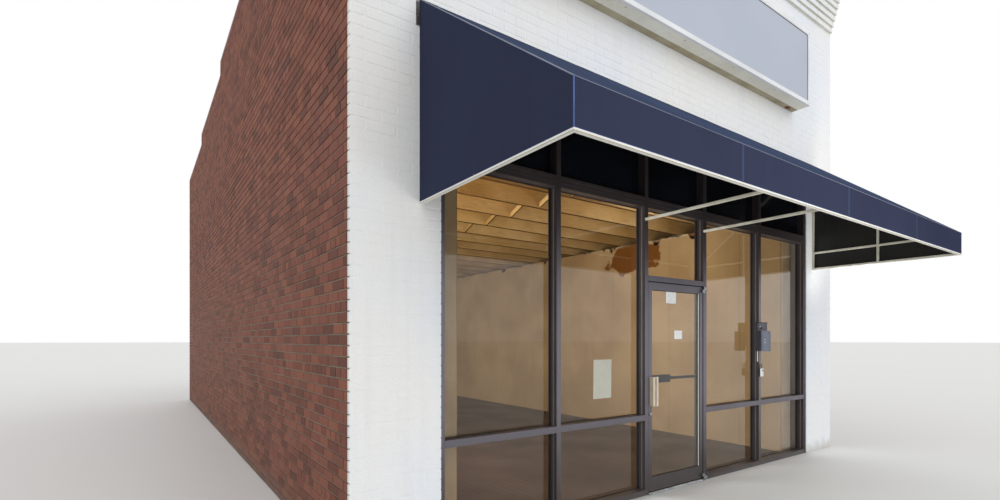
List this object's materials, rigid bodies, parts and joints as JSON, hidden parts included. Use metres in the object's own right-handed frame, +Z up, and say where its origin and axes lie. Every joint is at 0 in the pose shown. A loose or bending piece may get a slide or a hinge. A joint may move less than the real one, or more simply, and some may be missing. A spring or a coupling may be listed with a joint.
{
  "type": "shop building",
  "caption": "Brick shop building between party walls, with a corbelled front, a closed-end awning, a blank wall sign and a glazed storefront whose street door swings outward.",
  "frame": {"origin": "under the middle of the whole building, at pavement level, on the underside of the floor slab", "axes": "+Z up, -Y towards the street, +X to the right as seen from the street"},
  "size_m": [7.02, 13.925, 6.743],
  "materials": {
    "painted_brick": "thick white masonry paint over brick",
    "plain_brick": "plain red-brown brick",
    "coping": "white folded metal",
    "clay_coping": "fired clay",
    "steelwork": "grey painted steel",
    "roofing": "dark sheet roofing",
    "gutter_metal": "off-white folded metal",
    "floor_finish": "brown floor",
    "painted_timber": "old cream paint on timber",
    "wall_lining": "old cream plaster",
    "bronze_aluminium": "dark bronze anodised",
    "mill_aluminium": "plain aluminium",
    "dark_panel": "glossy black",
    "clear_glass": "clear",
    "cream_metal": "cream paint",
    "grey_box_metal": "dark grey paint",
    "awning_tube": "bare galvanised tube",
    "awning_canvas": "navy black canvas",
    "sign_metal": "beige paint",
    "white_metal": "white paint",
    "sign_sheet": "translucent pale sheet"
  },
  "bodies": {
    "building": {"left_pier": "painted_brick", "right_pier": "painted_brick", "front_wall": "painted_brick", "front_cornice": "painted_brick", "front_coping": "coping", "side_copings": "clay_coping", "steel_lintel": "steelwork", "left_party_wall": "plain_brick", "right_party_wall": "plain_brick", "rear_wall_sides": "plain_brick", "rear_wall_over_door": "plain_brick", "rear_door_frame": "steelwork", "rear_door": "steelwork", "roof_deck": "roofing", "rear_gutter": "gutter_metal", "rear_downpipe": "gutter_metal", "floor_slab": "floor_finish", "ceiling_joists": "painted_timber", "joist_bridging": "painted_timber", "ceiling_boards": "painted_timber", "joist_ledgers": "painted_timber", "lining_boards": "wall_lining", "lining_returns": "wall_lining", "lining_frames": "painted_timber", "storefront_jambs": "bronze_aluminium", "mullions": "bronze_aluminium", "sill_rails": "bronze_aluminium", "low_rails": "bronze_aluminium", "head_rails": "bronze_aluminium", "top_rails": "bronze_aluminium", "door_header": "bronze_aluminium", "door_stops": "bronze_aluminium", "door_threshold": "mill_aluminium", "head_panels": "dark_panel", "low_glass": "clear_glass", "tall_glass": "clear_glass", "frame_pivots": "mill_aluminium", "utility_boxes": "grey_box_metal", "awning_end_frames": "awning_tube", "awning_rails": "awning_tube", "awning_ties": "awning_tube", "awning_top": "awning_canvas", "awning_front": "awning_canvas", "awning_ends": "awning_canvas", "awning_trim": "cream_metal", "sign_mount": "sign_metal", "sign_cabinet": "sign_metal", "sign_retainer": "white_metal", "sign_face": "sign_sheet"},
    "street_door": {"door_stiles": "bronze_aluminium", "door_rails": "bronze_aluminium", "door_glass": "clear_glass", "leaf_pivots": "mill_aluminium", "pull_handle": "cream_metal", "panic_bar": "bronze_aluminium", "door_lock": "mill_aluminium"}
  },
  "joints": [
    {"name": "street_door_swing", "type": "hinge", "parent": "building", "child": "street_door", "pos_m": [0.426, -5.3835, 1], "axis": [0, 0, 1], "range_deg": [0, 95]}
  ]
}
